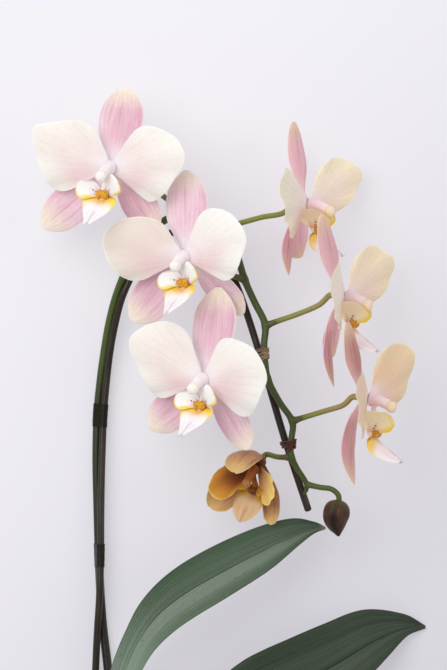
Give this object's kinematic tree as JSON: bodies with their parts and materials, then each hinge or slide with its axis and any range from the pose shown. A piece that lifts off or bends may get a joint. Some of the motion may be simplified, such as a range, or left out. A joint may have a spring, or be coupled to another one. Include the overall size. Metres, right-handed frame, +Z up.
{
  "type": "moth orchid stem",
  "caption": "Moth orchid laid down as lifted from its pot: an arching spike of open blooms, one opening and a bud, tied to a dark stake, with strap leaves at its base.",
  "frame": {"origin": "the middle of the base of the bounding box, on the surface that the stem lies on", "axes": "+Z up from the surface, +Y towards the top of the arched spike, +X to the right of the blooms as seen from above"},
  "size_m": [0.2178, 0.3816, 0.0987],
  "materials": {
    "stem": "satin green stem, brown at its joints and towards the bottom",
    "stake": "dark glossy stain",
    "band": "thin dark film",
    "raffia": "dull woven fibre",
    "wire": "dark red brown covered wire",
    "crown": "green leaf sheaths, dry brown at the cut",
    "leaf": "waxy dark green",
    "petal_pale": "soft cream white with a pink tint",
    "petal_warm": "soft cream to peach",
    "petal_gold": "soft golden tan",
    "sepal_pink": "soft pink with rose veins and cream tips",
    "sepal_warm": "soft terracotta rose",
    "sepal_gold": "soft golden brown",
    "lip": "waxy white and yellow with an orange callus and dark red marks",
    "lip_gold": "waxy gold with a dark red brown throat",
    "column": "waxy pinkish white",
    "column_gold": "waxy peach",
    "bud": "satin dark brown purple"
  },
  "bodies": {
    "root": {"flower_stem": "stem", "stake": "stake", "tie_band_upper": "band", "tie_band_lower": "band", "tie_raffia": "raffia", "tie_wound": "wire", "crown": "crown", "leaf_1": "leaf", "leaf_2": "leaf", "bloom_1_sepals": "sepal_pink", "bloom_1_petals": "petal_pale", "bloom_1_lip": "lip", "bloom_1_column": "column", "bloom_2_sepals": "sepal_pink", "bloom_2_petals": "petal_pale", "bloom_2_lip": "lip", "bloom_2_column": "column", "bloom_3_sepals": "sepal_pink", "bloom_3_petals": "petal_pale", "bloom_3_lip": "lip", "bloom_3_column": "column", "bloom_4_sepals": "sepal_warm", "bloom_4_petals": "petal_warm", "bloom_4_lip": "lip", "bloom_4_column": "column", "bloom_5_sepals": "sepal_warm", "bloom_5_petals": "petal_warm", "bloom_5_lip": "lip", "bloom_5_column": "column", "bloom_6_sepals": "sepal_warm", "bloom_6_petals": "petal_warm", "bloom_6_lip": "lip", "bloom_6_column": "column", "opening_bloom_sepals": "sepal_gold", "opening_bloom_petals": "petal_gold", "opening_bloom_lip": "lip_gold", "opening_bloom_column": "column_gold", "bud": "bud"}
  },
  "joints": []
}
